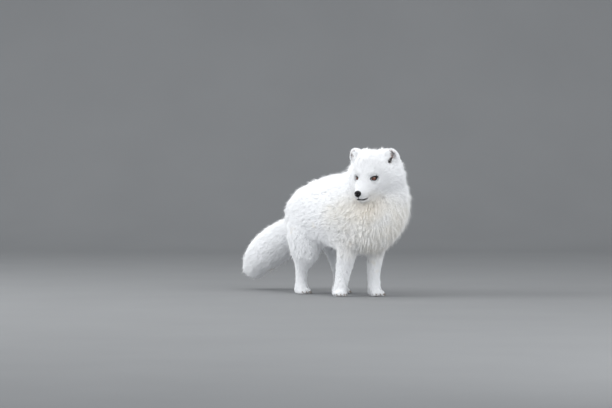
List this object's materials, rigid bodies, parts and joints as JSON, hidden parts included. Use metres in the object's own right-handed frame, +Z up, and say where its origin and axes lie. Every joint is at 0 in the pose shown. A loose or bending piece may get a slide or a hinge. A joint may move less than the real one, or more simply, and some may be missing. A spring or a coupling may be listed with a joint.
{
  "type": "arctic fox",
  "caption": "Life-size arctic fox in full winter coat, standing with its head turned to the right and its brush hanging low behind it.",
  "frame": {"origin": "middle of the model's box at floor level", "axes": "+X the way the trunk faces, +Y the fox's left, +Z up"},
  "size_m": [0.6634, 0.2256, 0.4092],
  "materials": {
    "coat": "soft dense white winter fur",
    "eye": "wet, dark amber-brown",
    "nose": "moist black skin",
    "claw": "smooth dark horn"
  },
  "bodies": {
    "root": {"chest": "coat", "claw_fore_left_1": "claw", "claw_fore_left_2": "claw", "claw_fore_left_3": "claw", "claw_fore_left_4": "claw", "claw_fore_right_1": "claw", "claw_fore_right_2": "claw", "claw_fore_right_3": "claw", "claw_fore_right_4": "claw", "claw_hind_left_1": "claw", "claw_hind_left_2": "claw", "claw_hind_left_3": "claw", "claw_hind_left_4": "claw", "claw_hind_right_1": "claw", "claw_hind_right_2": "claw", "claw_hind_right_3": "claw", "claw_hind_right_4": "claw", "ear_left": "coat", "ear_right": "coat", "eye_left": "eye", "eye_right": "eye", "foreleg_left_lower": "coat", "foreleg_left_upper": "coat", "foreleg_right_lower": "coat", "foreleg_right_upper": "coat", "forepaw_left": "coat", "forepaw_right": "coat", "head": "coat", "hindleg_left_lower": "coat", "hindleg_left_upper": "coat", "hindleg_right_lower": "coat", "hindleg_right_upper": "coat", "hindpaw_left": "coat", "hindpaw_right": "coat", "loin": "coat", "lower_jaw": "coat", "muzzle": "coat", "neck": "coat", "nose": "nose", "rump": "coat", "tail_base": "coat", "tail_brush": "coat"}
  },
  "joints": []
}
